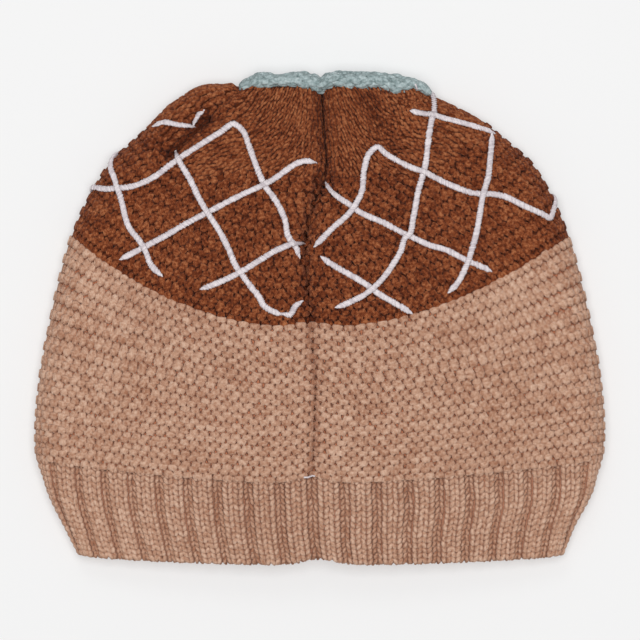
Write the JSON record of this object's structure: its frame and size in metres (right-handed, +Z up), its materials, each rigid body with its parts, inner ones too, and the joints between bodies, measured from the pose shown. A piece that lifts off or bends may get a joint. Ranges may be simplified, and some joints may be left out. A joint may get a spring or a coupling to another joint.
{
  "type": "knitted beanie hat",
  "caption": "Knitted beanie lying flat: ribbed band, garter-stitch body, gathered crown in a contrasting colour with a chunky tip and a lattice of raised embroidery.",
  "frame": {"origin": "centre of the hat's footprint, on the surface it lies on", "axes": "+X across the hat, +Y from the mouth of the band to the gathered tip, +Z up through the back with its seam"},
  "size_m": [0.2282, 0.1975, 0.0379],
  "materials": {
    "band_yarn": "matt knitted yarn, soft tan",
    "body_yarn": "matt knitted yarn, soft tan",
    "crown_yarn": "matt knitted yarn, chestnut brown",
    "tip_yarn": "matt chunky yarn, grey teal",
    "embroidery_thread": "satin stitch thread, off-white"
  },
  "bodies": {
    "root": {"rib_band": "band_yarn", "body": "body_yarn", "crown": "crown_yarn", "crown_tip": "tip_yarn", "lattice_left": "embroidery_thread", "lattice_right": "embroidery_thread", "lattice_fold": "embroidery_thread"}
  },
  "joints": []
}
